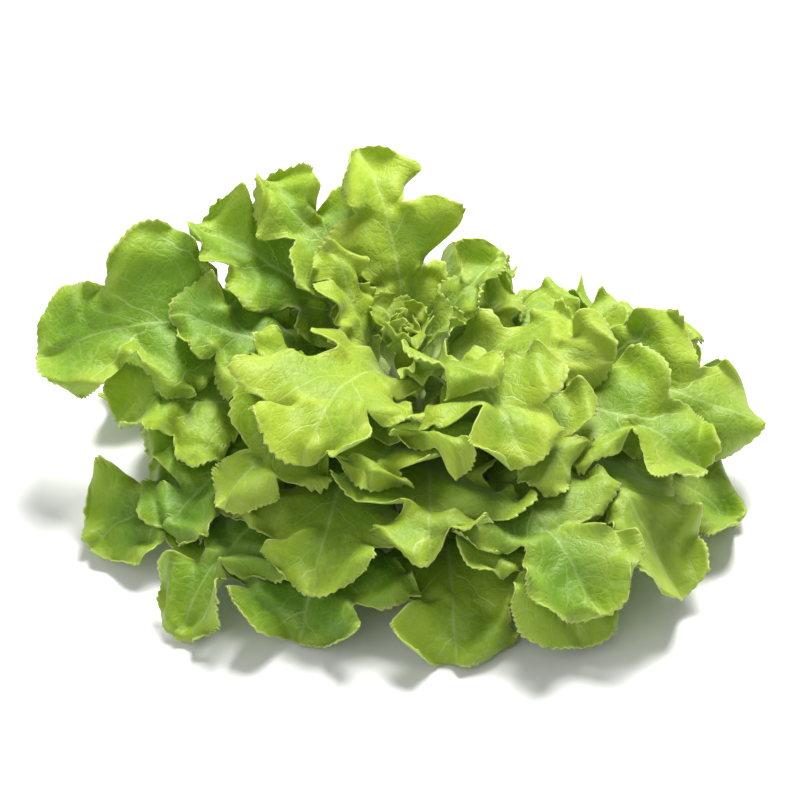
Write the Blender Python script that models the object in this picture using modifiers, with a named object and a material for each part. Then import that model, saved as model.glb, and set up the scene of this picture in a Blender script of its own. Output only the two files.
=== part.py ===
"""A head of green oakleaf lettuce, cut and standing on its stem.

The head is a rosette: a short core, forty-odd separate lobed leaves that leave it at
all heights and lean outwards, and a tight heart of small leaves at its top.

Sizes are millimetres and degrees, turned to metres when a mesh is made. +X is to the
right, +Y to the back, +Z up, and the origin is the middle of the stem's cut face.
"""

import math
from collections import namedtuple

import bmesh
import bpy
import numpy as np

MM = 0.001

# The stem and, above it, the heart's core: (radius, height) down the outer side.
STEM_PROFILE = [(0.0, 49.0), (5.5, 49.0), (8.5, 40.0), (12.0, 24.0), (14.5, 8.0), (13.5, 2.5), (12.0, 0.0)]
CORE_PROFILE = [(0.0, 60.0), (2.0, 58.5), (3.8, 55.5), (4.8, 52.0), (5.3, 49.3)]
TURNED_STEPS = 24
LOWEST_BASE = 4.5
HIGHEST_BASE = 30.0
TOPMOST_BASE = 47.0
GAP = 0.35

# The leaf, as shares of its length from stem (0) to tip (1) and of its half width. The
# petiole's end and the blade's widest place are given for the outermost and the inmost leaf.
PETIOLE_HALF_WIDTH = (6.5, 3.0)
PETIOLE_END = (0.16, 0.1)
BLADE_FULL = (0.58, 0.42)
SINUS_DEPTH = 0.58
SINUS_WIDTH = 0.042
SINUS_PLACES = (0.45, 0.73)
LOBE_ROUND = 0.36
LOBE_LEAN = 0.1
LOBE_SWEEP = 0.42
TIP_STARTS = 0.72
TIP_RADIUS = 0.72
TIP_BULGE = 0.18
TIP_NARROWS = 0.84
BLADE_THICK = 0.9
RIB_THICK = (1.4, 0.3)
RIB_HALF_WIDTH = 5.0
WAVE_LENGTH = 40.0

# What differs from leaf to leaf by chance, as ranges: how far the lobes of one side sit
# ahead, how deep its sinuses are and how long its waves are.
SIDE_SHIFT = 0.045
SINUS_SHARE = (0.35, 1.05)
WAVE_SHARE = (0.85, 1.25)

# Curls, as shares of a leaf's ruffle: of each lobe's margin, of which every second lobe's
# goes the other way; of the tip, as a nod and as folds; and of the waves along the margin.
LOBE_CURL = (0.8, 2.3)
CURL_WAYS = (-1, 1, 1)
CURL_BACK = 0.8
TIP_NOD = (-1.6, 0.8)
TIP_FOLD = 1.0
TIP_FOLDS = 3.2
MARGIN_WAVE = 0.45

# The grid of a leaf's solid: rows along it, close together at the sinuses, and columns.
ROWS = np.array([0.0, 0.13, 0.26, 0.37, 0.45, 0.51, 0.59, 0.67, 0.73, 0.79, 0.86, 0.93, 1.0])
COLUMNS = np.array([-1.0, -0.72, -0.36, 0.0, 0.36, 0.72, 1.0])

# How closely leaves lie on one another, and the patches that this is worked out on.
CLEARANCE = 0.45
REACH_STEP = 1.0
REACH_CELLS = 240
TURN_CELLS = 360
SPREAD = 1.3
PASSES = 8
STEEPEST = 14

# Colour and roughness of each kind of piece.
FINISHES = {
    "outer_leaf": ((0.29, 0.50, 0.07), 0.45),
    "middle_leaf": ((0.34, 0.55, 0.08), 0.45),
    "upper_leaf": ((0.40, 0.60, 0.10), 0.42),
    "heart": ((0.50, 0.66, 0.16), 0.42),
    "stem": ((0.78, 0.82, 0.60), 0.55),
}

Leaf = namedtuple("Leaf", "name tip rise droop roll width cup ruffle turn")

# Each leaf's tip (x, y, z), how steeply it leaves the stem and ends at its tip, its roll to
# the right, its half width, how far its margins bend up, its ruffle's height, and how far
# round the stem its foot is turned from its tip. Outermost first.
LEAVES = [
    Leaf("outer_leaf_01", (18, -119, 2), 12, -40, 0, 38, 20, 5, 10),
    Leaf("outer_leaf_02", (38, 98, 5), 14, -30, 0, 36, 20, 5, -10),
    Leaf("outer_leaf_03", (-120, -54, 4), 14, -30, 10, 32, 10, 5, 10),
    Leaf("outer_leaf_04", (128, -41, 8), 14, -30, -10, 38, -20, 6, -10),
    Leaf("outer_leaf_05", (-42, -109, 2), 18, -50, 0, 40, 10, 5, 0),
    Leaf("outer_leaf_06", (-75, 92, 8), 16, -25, 0, 36, 20, 6, 0),
    Leaf("outer_leaf_07", (64, -112, 2), 18, -45, 0, 36, 20, 5, 10),
    Leaf("outer_leaf_08", (120, 32, 8), 16, -30, 0, 34, 10, 6, 0),
    Leaf("outer_leaf_09", (-120, 40, 10), 18, -25, 10, 34, 10, 6, 15),
    Leaf("outer_leaf_10", (-86, -102, 2), 22, -50, 0, 24, 0, 4, 0),
    Leaf("outer_leaf_11", (90, 72, 6), 18, -25, 0, 34, 10, 6, 0),
    Leaf("outer_leaf_12", (100, -88, 4), 20, -40, -5, 32, 15, 6, 30),
    Leaf("outer_leaf_13", (-18, 108, 12), 20, -20, 0, 36, 10, 6, 0),
    Leaf("middle_leaf_01", (-94, -63, 14), 24, -40, 10, 34, 20, 5, -20),
    Leaf("middle_leaf_02", (66, -107, 14), 26, -50, 0, 34, 20, 5, 0),
    Leaf("middle_leaf_07", (118, 16, 24), 28, -20, -15, 30, 10, 5, 10),
    Leaf("middle_leaf_03", (136, -18, 34), 28, -20, -35, 30, 0, 6, 10),
    Leaf("middle_leaf_04", (-116, -25, 30), 28, -20, 15, 30, 20, 5, 0),
    Leaf("middle_leaf_05", (66, 66, 18), 30, -20, 0, 34, 10, 6, 0),
    Leaf("middle_leaf_06", (-34, -99, 22), 30, -50, 0, 34, 20, 5, -15),
    Leaf("middle_leaf_08", (-144, 0, 54), 40, -20, 40, 38, 20, 6, -22),
    Leaf("middle_leaf_09", (14, 84, 26), 32, -10, 0, 34, 20, 6, 10),
    Leaf("middle_leaf_10", (8, -104, 26), 34, -50, 0, 36, 25, 5, 10),
    Leaf("middle_leaf_11", (112, -52, 42), 38, -30, -20, 28, 0, 5, 0),
    Leaf("middle_leaf_12", (-62, 76, 55), 40, 0, 0, 34, 20, 6, -10),
    Leaf("middle_leaf_13", (-103, 5, 50), 42, -10, 20, 28, 20, 5, 10),
    Leaf("middle_leaf_14", (90, 20, 42), 40, -10, -10, 32, 20, 5, 10),
    Leaf("middle_leaf_15", (-67, -71, 38), 44, -40, 10, 24, 20, 4, -10),
    Leaf("middle_leaf_16", (-84, 42, 84), 50, 10, 20, 30, 60, 5, -20),
    Leaf("upper_leaf_01", (58, 36, 44), 42, -10, -5, 30, 20, 5, 25),
    Leaf("upper_leaf_02", (-66, 56, 92), 52, 20, 10, 30, 30, 5, -30),
    Leaf("upper_leaf_03", (65, -72, 42), 48, -40, 0, 26, 20, 4, 10),
    Leaf("upper_leaf_04", (-15, 56, 112), 60, 50, 0, 30, 20, 6, -15),
    Leaf("upper_leaf_05", (-76, -34, 48), 50, -30, 10, 26, 0, 4, 20),
    Leaf("upper_leaf_06", (80, -25, 66), 52, 0, -20, 26, 20, 5, 20),
    Leaf("upper_leaf_07", (38, 36, 76), 54, 20, 0, 17, 20, 4, 0),
    Leaf("upper_leaf_08", (-17, -91, 42), 52, -45, 0, 22, 20, 4, 10),
    Leaf("upper_leaf_09", (-42, 30, 84), 56, 30, 0, 20, 20, 4, 80),
    Leaf("upper_leaf_10", (8, -82, 50), 54, -45, 0, 24, 20, 4, 30),
    Leaf("upper_leaf_11", (-40, -78, 58), 56, -50, 10, 40, 5, 5, -10),
    Leaf("upper_leaf_12", (43, -72, 60), 58, -45, 0, 30, 5, 5, 20),
    Leaf("upper_leaf_13", (31, -52, 72), 58, -30, 0, 19, 20, 4, -25),
]

# The heart's small leaves, from the lowest and longest to the topmost.
SMALL_LEAVES = 7
SMALL_LENGTH = (28.0, 13.0)
SMALL_HALF_WIDTH = (13.0, 6.0)
SMALL_RISE = (40.0, 82.0)
SMALL_CUP = 60
SMALL_RUFFLE = 2.5
SMALL_ROWS = np.array([0.0, 0.35, 0.59, 0.8, 1.0])
SMALL_COLUMNS = np.array([-1.0, -0.5, 0.0, 0.5, 1.0])
GOLDEN_TURN = 137.5


def smoothstep(low, high, value):
    """0 up to low, 1 from high, and an even S between."""
    t = np.clip((value - low) / (high - low), 0.0, 1.0)
    return t * t * (3.0 - 2.0 * t)


def between(ends, share):
    """The value a share of the way from the first end to the second."""
    return ends[0] + (ends[1] - ends[0]) * share


def unit(vectors):
    """Each vector at length 1."""
    return vectors / np.linalg.norm(vectors, axis=-1, keepdims=True)


def heading(turn, rise):
    """The direction that points turn degrees round from +X and rise degrees up."""
    turn, rise = math.radians(turn), math.radians(rise)
    return np.array([math.cos(rise) * math.cos(turn), math.cos(rise) * math.sin(turn), math.sin(rise)])


def profile_radius(height):
    """The radius of the stem, or above it of the heart's core, at a height."""
    outline = CORE_PROFILE + STEM_PROFILE[1:]
    radii, heights = zip(*reversed(outline))
    return np.interp(height, heights, radii, right=0.0)


class Midrib:
    """A leaf's midrib: a cubic curve from its foot to the tip, with directions along it.

    along points to the tip, side to the right of someone who looks along the leaf from the
    stem, and face out of the upper side.
    """

    STEPS = 120
    BEYOND = 1.35

    def __init__(self, leaf, foot_radius, foot_height):
        tip = np.array(leaf.tip, float)
        self.foot_turn = math.degrees(math.atan2(tip[1], tip[0])) + leaf.turn
        inward = heading(self.foot_turn, 0)
        foot = inward * foot_radius
        foot[2] = foot_height
        outward = unit((tip - foot) * (1, 1, 0))
        droop = math.radians(leaf.droop)
        end = outward * math.cos(droop) + np.array([0, 0, math.sin(droop)])
        handle = 0.4 * np.linalg.norm(tip - foot)
        points = [foot, foot + handle * heading(self.foot_turn, leaf.rise), tip - handle * end, tip]
        t = np.linspace(0, 1, self.STEPS)[:, None]
        curve = sum(c * (1 - t) ** (3 - i) * t ** i * p for i, (c, p) in enumerate(zip((1, 3, 3, 1), points)))
        run = np.concatenate([[0], np.cumsum(np.linalg.norm(np.diff(curve, axis=0), axis=1))])
        self.length = run[-1]
        shares = np.linspace(0, 1, self.STEPS)
        curve = np.stack([np.interp(shares, run / run[-1], curve[:, k]) for k in range(3)], axis=1)
        extra = np.linspace(1, self.BEYOND, self.STEPS // 3)[1:]
        beyond = curve[-1] + (extra[:, None] - 1) * self.length * end
        self.shares = np.concatenate([shares, extra])
        self.points = np.concatenate([curve, beyond])
        self.along = unit(np.gradient(self.points, axis=0))
        outwards = unit(inward + (outward - inward) * self.shares[:, None].clip(0, 1))
        side = np.cross(outwards, (0, 0, 1))
        side = unit(side - self.along * (side * self.along).sum(1, keepdims=True))
        face = np.cross(side, self.along)
        roll = np.radians(leaf.roll) * smoothstep(0.1, 0.6, self.shares)[:, None]
        self.side = side * np.cos(roll) + face * np.sin(roll)
        self.face = face * np.cos(roll) - side * np.sin(roll)

    def at(self, share, what):
        """The midrib's point, or one of its directions, at each share of its length."""
        table = getattr(self, what)
        return np.stack([np.interp(share, self.shares, table[:, k]) for k in range(3)], axis=-1)


class Blade:
    """A leaf's outline, curls and waves, over a grid of rows along it and columns across it.

    What differs from leaf to leaf by chance comes from a seed that is the leaf's number.
    """

    def __init__(self, leaf, rank, number, length):
        chance = np.random.default_rng(number)
        sinuses = len(SINUS_PLACES)
        self.leaf = leaf
        self.length = length
        self.petiole = between(PETIOLE_HALF_WIDTH, rank)
        self.rib = between(RIB_THICK, rank)
        self.petiole_end = between(PETIOLE_END, rank)
        self.full = between(BLADE_FULL, rank)
        self.shift = chance.uniform(-SIDE_SHIFT, SIDE_SHIFT, 2)
        self.depth = chance.uniform(*SINUS_SHARE, (2, sinuses))
        self.phase = chance.uniform(0, 2 * math.pi, 3)
        self.wave = WAVE_LENGTH * chance.uniform(*WAVE_SHARE, 2)
        self.curl = chance.uniform(*LOBE_CURL, (2, sinuses + 1)) * chance.choice(CURL_WAYS, (2, 1))
        self.curl[:, 1::2] *= -CURL_BACK
        self.nod = chance.uniform(*TIP_NOD)

    def of_side(self, pair, column):
        """A value for the left half and one for the right."""
        return np.where(column < 0, pair[0], pair[1])

    def grow(self, row):
        """0 along the petiole, 1 where the blade is full."""
        return smoothstep(self.petiole_end, self.full, row)

    def half_width(self, row, column):
        """A petiole, then a blade that sinuses cut into rounded lobes on either side."""
        full = self.leaf.width
        width = self.petiole + (full - self.petiole) * self.grow(row)
        width = width * np.sqrt(1 - TIP_NARROWS * (np.clip(row - self.full, 0, 1) / (1 - self.full)) ** 2)
        cut = 0
        for place, depths in zip(SINUS_PLACES, self.depth.T):
            cut = cut + self.of_side(depths, column) * np.exp(-(((row - place) / SINUS_WIDTH) ** 2))
        lobe, place = self.across_lobe(row)
        cap = LOBE_ROUND * (1 - np.sqrt(1 - place ** 2)) + LOBE_LEAN * np.sin(math.pi * place)
        width = np.where(lobe == len(SINUS_PLACES), np.minimum(width, self.tip_width(row)), width * (1 - cap))
        return width * (1 - SINUS_DEPTH * cut)

    def across_lobe(self, row):
        """Which lobe a row crosses, and where: -1 at its lower sinus and 1 at its upper.

        The lowest lobe has its middle, 0, all the way down and the one at the tip all the way up.
        """
        last = len(SINUS_PLACES)
        count = (row - SINUS_PLACES[0]) / (SINUS_PLACES[1] - SINUS_PLACES[0]) + 1
        lobe = np.floor(count).clip(0, last).astype(int)
        place = (2 * (count - lobe) - 1).clip(-1, 1)
        place = np.where(lobe == 0, place.clip(0), place)
        return lobe, np.where(lobe == last, place.clip(None, 0), place)

    def tip_width(self, row):
        """Half the width of the round lobe at the tip, a circle that the swept rows meet."""
        tip = smoothstep(TIP_STARTS, 1.0, row)
        radius = TIP_RADIUS * self.leaf.width
        above = (row - 1) * self.length + radius - TIP_BULGE * self.leaf.width * tip
        sweep = LOBE_SWEEP * (1 - tip)
        reach = radius ** 2 * (1 + sweep ** 2) - above ** 2
        return (np.sqrt(reach.clip(0)) - above * sweep) / (1 + sweep ** 2)

    def surface(self, midrib, row, column):
        """The leaf's middle surface: arcs across the midrib, whose margins run on towards
        the tip, and rise and fall in waves, more so the nearer they are to the edge."""
        leaf = self.leaf
        grow = self.grow(row)
        tip = smoothstep(TIP_STARTS, 1.0, row)
        across = column * self.half_width(row, column)
        place = row + self.of_side(self.shift, column) * np.abs(column) * np.sin(math.pi * row.clip(0, 1))
        forward = LOBE_SWEEP * np.abs(across) * grow * (1 - tip) - column ** 2 * TIP_BULGE * leaf.width * tip
        share = place + forward / midrib.length
        bend = (1 - smoothstep(0, 0.35, row)) / STEM_PROFILE[4][0]
        bend = bend + smoothstep(0.1, 0.6, row) * math.radians(leaf.cup) / leaf.width
        bend = np.where(np.abs(bend) < 1e-5, 1e-5, bend)
        sideways = np.sin(bend * across) / bend
        lift = (1 - np.cos(bend * across)) / bend
        turn = 2 * math.pi * place * midrib.length / self.of_side(self.wave, column)
        edge = leaf.ruffle * np.abs(column) ** 1.5 * grow
        lobe, place = self.across_lobe(row)
        curl = np.where(column < 0, self.curl[0][lobe], self.curl[1][lobe])
        lift = lift + edge * curl * (1 - place ** 4)
        lift = lift + MARGIN_WAVE * edge * np.sin(turn + self.of_side(self.phase[:2], column))
        fold = TIP_FOLD * np.sin(TIP_FOLDS * column + self.phase[2])
        lift = lift + leaf.ruffle * tip * (fold + self.nod * tip)
        side, face = midrib.at(share, "side"), midrib.at(share, "face")
        return midrib.at(share, "points") + side * sideways[..., None] + face * lift[..., None]

    def thickness(self, row, column):
        """Thickest along the midrib, most of all in the petiole, and thin in the blade."""
        rib = self.rib * (1 - 0.75 * smoothstep(0.1, 0.9, row))
        across = column * self.half_width(row, column)
        return BLADE_THICK + rib * np.exp(-((across / RIB_HALF_WIDTH) ** 2))


def triangles_of(rows, columns):
    """A grid's faces, two triangles to a cell, turned alternate ways."""
    faces = []
    for j in range(rows - 1):
        for i in range(columns - 1):
            a = j * columns + i
            b, c, d = a + 1, a + columns, a + columns + 1
            faces += [(a, b, d), (a, d, c)] if (i + j) % 2 else [(a, b, c), (b, d, c)]
    return np.array(faces)


def seen(points):
    """Distance, angle from upright and turn of points, seen from the origin."""
    far = np.linalg.norm(points, axis=-1)
    lean = np.arccos(np.clip(points[..., 2] / far, -1, 1))
    return far, lean, np.arctan2(points[..., 1], points[..., 0])


def swing(points, lift):
    """Points swung up by a length, each about the origin and in its own upright plane."""
    far, lean, turn = seen(points)
    lean = np.maximum(lean - lift / far, np.minimum(lean, math.radians(STEEPEST)))
    flat = far * np.sin(lean)
    return np.stack([flat * np.cos(turn), flat * np.sin(turn), far * np.cos(lean)], axis=-1)


class Pile:
    """The upper side of all the leaves laid so far, as an angle from upright.

    Seen from the origin, a leaf covers some range of distances and turns. Over each small
    patch of those the pile keeps the least angle from upright, and a new leaf is swung up,
    at the same distance and turn, until it clears that everywhere.
    """

    def __init__(self):
        self.least = np.full((REACH_CELLS, TURN_CELLS), math.pi / 2)
        steps = 6
        shares = [(i, j, steps - i - j) for i in range(steps + 1) for j in range(steps + 1 - i)]
        self.samples = np.array(shares) / steps

    def cells(self, far, turn):
        """The patch that each point lies in."""
        reach = np.clip((far / REACH_STEP).astype(int), 0, REACH_CELLS - 1)
        return reach, np.floor(np.degrees(turn)).astype(int) % TURN_CELLS

    def spread(self, points, thick, faces):
        """Points all over each triangle, with half the thickness at each."""
        corners = points.reshape(-1, 3)[faces]
        halves = thick.ravel()[faces] / 2
        return np.einsum("sc,fck->fsk", self.samples, corners), np.einsum("sc,fc->fs", self.samples, halves)

    def need(self, widened, points, thick, faces):
        """How far each corner still has to swing up, in mm."""
        on, half = self.spread(points, thick, faces)
        far, lean, turn = seen(on)
        least = widened[self.cells(far, turn)]
        room = half + np.where(least > math.pi / 2 - 1e-6, 0.02, CLEARANCE)
        short = (far * (lean - least) + room).clip(0).max(axis=1)
        found = np.zeros(thick.size)
        np.maximum.at(found, faces, short[:, None])
        return found.reshape(thick.shape)

    def widened(self):
        """The pile grown sideways, so that leaves keep clear of steep places too."""
        wide = self.least.copy()
        for shift in (-1, 1):
            wide = np.minimum(wide, np.roll(self.least, shift, axis=0))
        grown = wide.copy()
        for reach in range(REACH_CELLS):
            patch = math.radians(360 / TURN_CELLS) * max(reach, 6) * REACH_STEP
            for shift in range(1, 1 + math.ceil(SPREAD / patch)):
                around = np.minimum(np.roll(wide[reach], shift), np.roll(wide[reach], -shift))
                grown[reach] = np.minimum(grown[reach], around)
        return grown

    def add(self, points, thick, faces):
        """Lays a leaf on the pile."""
        on, half = self.spread(points, thick, faces)
        far, lean, turn = seen(on)
        np.minimum.at(self.least, self.cells(far, turn), lean - half / far)


def eased(target, times=3):
    """A smooth sheet over a grid of values, nowhere below them."""
    rows, columns = target.shape
    sheet = target
    for _ in range(times):
        padded = np.pad(sheet, 1, mode="edge")
        mean = sum(padded[j : j + rows, i : i + columns] for j in range(3) for i in range(3)) / 9
        sheet = np.maximum(target, mean)
    return sheet


def foot_ring(foot_turn, height, across, thick):
    """A leaf's first row, on the stem at a height and wrapped round it."""
    radius = profile_radius(height) + GAP + thick / 2
    turn = math.radians(foot_turn) - across / radius
    return np.stack([radius * np.cos(turn), radius * np.sin(turn), np.full(len(turn), height)], axis=-1)


def clear_of_stem(points, thick):
    """Points pushed outwards where they would come too near the stem."""
    radius = np.hypot(points[..., 0], points[..., 1])
    least = profile_radius(points[..., 2]) + 2 * GAP + thick / 2
    out = np.maximum(radius, np.where(points[..., 2] < CORE_PROFILE[0][1], least, 0)) / radius
    return points * np.stack([out, out, np.ones_like(out)], axis=-1)


def settle(pile, foot_turn, height, across, points, thick, faces):
    """Swings a leaf up, smoothly, and its foot up the stem, until it clears the pile."""
    lift = np.zeros(thick.shape)
    widened = pile.widened()
    for _ in range(PASSES):
        now = clear_of_stem(swing(points, lift), thick)
        now[0] = foot_ring(foot_turn, height, across[0], thick[0])
        need = pile.need(widened, now, thick, faces)
        if need.max() < 0.02:
            break
        height = min(height + need[0].max(), TOPMOST_BASE)
        lift = eased(lift + need)
    return now


def solid_leaf(name, points, thick, faces, material):
    """A leaf's surface thickened to both sides, most along the midrib."""
    mesh = bpy.data.meshes.new(name)
    mesh.from_pydata((points.reshape(-1, 3) * MM).tolist(), [], faces.tolist())
    leaf = bpy.data.objects.new(name, mesh)
    group = leaf.vertex_groups.new(name="thickness")
    thickest = float(thick.max())
    for index, value in enumerate(thick.ravel()):
        group.add([index], float(value) / thickest, "REPLACE")
    shell = leaf.modifiers.new("thickness", "SOLIDIFY")
    shell.thickness = thickest * MM
    shell.offset = 0
    shell.vertex_group = group.name
    mesh.materials.append(material)
    mesh.shade_smooth()
    return leaf


def turned(name, profile, material):
    """A solid turned from a profile that runs down its outer side."""
    mesh = bpy.data.meshes.new(name)
    points = [(radius * MM, 0, height * MM) for radius, height in profile + [(0.0, profile[-1][1])]]
    mesh.from_pydata(points, [(i, i + 1) for i in range(len(points) - 1)], [])
    piece = bpy.data.objects.new(name, mesh)
    screw = piece.modifiers.new("turned", "SCREW")
    screw.steps = screw.render_steps = TURNED_STEPS
    screw.use_merge_vertices = True
    screw.merge_threshold = 0.00001
    mesh.materials.append(material)
    return piece


def finish_of(name):
    """The plain finish of one kind of piece, made once."""
    if name in bpy.data.materials:
        return bpy.data.materials[name]
    colour, roughness = FINISHES[name]
    material = bpy.data.materials.new(name)
    material.use_nodes = True
    shader = material.node_tree.nodes["Principled BSDF"]
    shader.inputs["Base Color"].default_value = (*colour, 1)
    shader.inputs["Roughness"].default_value = roughness
    return material


def big_leaves(pile):
    """Every leaf of the table, each laid on those before it."""
    row, column = np.meshgrid(ROWS, COLUMNS, indexing="ij")
    faces = triangles_of(*row.shape)
    for number, leaf in enumerate(LEAVES):
        rank = number / (len(LEAVES) - 1)
        height = between((LOWEST_BASE, HIGHEST_BASE), rank)
        midrib = Midrib(leaf, profile_radius(height) + GAP, height)
        blade = Blade(leaf, rank, number, midrib.length)
        thick = blade.thickness(row, column)
        across = column * blade.half_width(row, column)
        points = blade.surface(midrib, row, column)
        points = settle(pile, midrib.foot_turn, height, across, points, thick, faces)
        pile.add(points, thick, faces)
        yield solid_leaf(leaf.name, points, thick, faces, finish_of(leaf.name[:-3]))


def small_leaves(pile):
    """The heart's leaves, turned on by the golden angle, with their feet in the core."""
    row, column = np.meshgrid(SMALL_ROWS, SMALL_COLUMNS, indexing="ij")
    faces = triangles_of(*row.shape)
    for number in range(SMALL_LEAVES):
        share = number / (SMALL_LEAVES - 1)
        height = between((CORE_PROFILE[-1][1] + 3, CORE_PROFILE[1][1] - 4), share)
        rise = between(SMALL_RISE, share)
        tip = heading(GOLDEN_TURN * number, rise) * between(SMALL_LENGTH, share) + (0, 0, height)
        width = between(SMALL_HALF_WIDTH, share)
        leaf = Leaf("small", tuple(tip), rise + 8, rise - 25, 0, width, SMALL_CUP, SMALL_RUFFLE, 0)
        midrib = Midrib(leaf, 0.5, height)
        blade = Blade(leaf, 1.0, 100 + number, midrib.length)
        thick = blade.thickness(row, column)
        points = blade.surface(midrib, row, column)
        lift, widened = np.zeros(thick[1:].shape), pile.widened()
        upper = triangles_of(len(SMALL_ROWS) - 1, len(SMALL_COLUMNS))
        for _ in range(PASSES):
            now = swing(points[1:], lift)
            lift = eased(lift + pile.need(widened, now, thick[1:], upper))
        points[1:] = now
        yield solid_leaf(f"small_leaf_{number + 1:02d}", points, thick, faces, finish_of("heart"))


def keep_outer_skin(mesh):
    """Leaves only the largest run of joined faces, so that hollows between leaves are filled."""
    shape = bmesh.new()
    shape.from_mesh(mesh)
    waiting = set(shape.faces)
    largest = set()
    while waiting:
        run = {waiting.pop()}
        edge = list(run)
        while edge:
            touching = {other for side in edge.pop().edges for other in side.link_faces} & waiting
            waiting -= touching
            run |= touching
            edge.extend(touching)
        largest = max(largest, run, key=len)
    bmesh.ops.delete(shape, geom=[face for face in shape.faces if face not in largest], context="FACES")
    shape.to_mesh(mesh)
    shape.free()


def heart(pile, collection):
    """The small leaves and their core, joined into one body."""
    core = turned("heart", CORE_PROFILE, finish_of("heart"))
    bpy.context.scene.collection.objects.link(core)
    small = bpy.data.collections.new("small_leaves")
    bpy.context.scene.collection.children.link(small)
    for leaf in small_leaves(pile):
        small.objects.link(leaf)
    joined = core.modifiers.new("joined", "BOOLEAN")
    joined.operation = "UNION"
    joined.operand_type = "COLLECTION"
    joined.collection = small
    joined.solver = "MANIFOLD"
    bpy.context.view_layer.update()
    depsgraph = bpy.context.evaluated_depsgraph_get()
    mesh = bpy.data.meshes.new_from_object(core.evaluated_get(depsgraph))
    for old in [core, *small.objects]:
        bpy.data.objects.remove(old)
    bpy.data.collections.remove(small)
    keep_outer_skin(mesh)
    collection.objects.link(bpy.data.objects.new("heart", mesh))


def main():
    for old in list(bpy.data.objects):
        bpy.data.objects.remove(old)
    head = bpy.data.collections.new("oakleaf_lettuce")
    bpy.context.scene.collection.children.link(head)
    head.objects.link(turned("stem", STEM_PROFILE, finish_of("stem")))
    pile = Pile()
    for leaf in big_leaves(pile):
        head.objects.link(leaf)
    heart(pile, head)


main()
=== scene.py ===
"""A head of green oakleaf lettuce, cut at the stem and set down on it, seen from above its front."""
import math
from collections import namedtuple

import bpy
import numpy as np
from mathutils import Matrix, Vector


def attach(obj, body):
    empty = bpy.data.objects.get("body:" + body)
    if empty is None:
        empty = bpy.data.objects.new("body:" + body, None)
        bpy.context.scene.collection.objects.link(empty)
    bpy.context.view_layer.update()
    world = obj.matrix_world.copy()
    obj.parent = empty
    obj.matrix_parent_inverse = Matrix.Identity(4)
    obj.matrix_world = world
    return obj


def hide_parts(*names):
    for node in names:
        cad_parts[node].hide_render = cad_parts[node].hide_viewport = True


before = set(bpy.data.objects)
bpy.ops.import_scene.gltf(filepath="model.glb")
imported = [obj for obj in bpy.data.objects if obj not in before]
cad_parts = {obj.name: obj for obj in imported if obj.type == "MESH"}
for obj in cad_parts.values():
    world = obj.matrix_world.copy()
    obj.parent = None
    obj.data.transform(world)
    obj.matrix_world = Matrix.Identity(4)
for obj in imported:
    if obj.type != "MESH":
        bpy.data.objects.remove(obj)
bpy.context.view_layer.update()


# Camera
# The head stands on its cut stem and is seen from the front, 40 degrees above level,
# from far enough away that the near and far leaves are drawn almost at one scale.

LOOKING_AT = Vector((-0.003, 0.0, 0.031))
ELEVATION = math.radians(40)
DISTANCE = 1.1
FIELD_WIDTH = 0.308
SENSOR_WIDTH = 36

camera = bpy.data.objects.new("camera", bpy.data.cameras.new("camera"))
bpy.context.scene.collection.objects.link(camera)
away = Vector((0, -math.cos(ELEVATION), math.sin(ELEVATION)))
camera.location = LOOKING_AT + away * DISTANCE
camera.rotation_euler = (-away).to_track_quat("-Z", "Y").to_euler()
camera.data.sensor_width = SENSOR_WIDTH
camera.data.lens = SENSOR_WIDTH * DISTANCE / FIELD_WIDTH
bpy.context.scene.camera = camera


# Floor and light
# A plain pale table under a large soft lamp above and behind the head, a weaker one in
# front, and an even white room, as for a catalogue picture.

TABLE_REACH = 4
TABLE_TOP = -0.0004
TABLE_WHITE = (0.92, 0.92, 0.92, 1)
TABLE_ROUGHNESS = 0.9
ROOM_WHITE = (1.0, 1.0, 1.0, 1)
ROOM_LIGHT = 0.36


def add_lamp(name, place, size, watts, colour):
    """A square lamp at a place, turned to the head's middle."""
    lamp = bpy.data.objects.new(name, bpy.data.lights.new(name, "AREA"))
    lamp.data.size = size
    lamp.data.energy = watts
    lamp.data.color = colour
    lamp.location = place
    lamp.rotation_euler = (LOOKING_AT - Vector(place)).to_track_quat("-Z", "Y").to_euler()
    bpy.context.scene.collection.objects.link(lamp)


table = bpy.data.meshes.new("table")
table.from_pydata(
    [(x * TABLE_REACH, y * TABLE_REACH, TABLE_TOP) for x, y in ((-1, -1), (1, -1), (1, 1), (-1, 1))],
    [], [(0, 1, 2, 3)])
table_top = bpy.data.objects.new("table", table)
bpy.context.scene.collection.objects.link(table_top)
table_finish = bpy.data.materials.new("table")
table_finish.use_nodes = True
matt = table_finish.node_tree.nodes["Principled BSDF"]
matt.inputs["Base Color"].default_value = TABLE_WHITE
matt.inputs["Roughness"].default_value = TABLE_ROUGHNESS
table.materials.append(table_finish)

room = bpy.data.worlds.new("room")
bpy.context.scene.world = room
room.use_nodes = True
even_light = room.node_tree.nodes["Background"]
even_light.inputs["Color"].default_value = ROOM_WHITE
even_light.inputs["Strength"].default_value = ROOM_LIGHT
add_lamp("high_lamp", (0.2, 0.5, 1.25), 0.6, 36, (1.0, 0.99, 0.97))
add_lamp("front_lamp", (-0.7, -1.0, 0.9), 1.2, 6, (0.97, 0.99, 1.0))
bpy.context.scene.view_settings.view_transform = "Standard"


# The outer leaves
# Thirteen old leaves at the foot of the head, each on the stem by itself and lying on the
# table: a thin watery blade on a fleshy midrib, cut by deep sinuses into rounded lobes and
# ruffled along its margins. Each leaf of the head lies on those below it.

MM = 0.001

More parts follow.
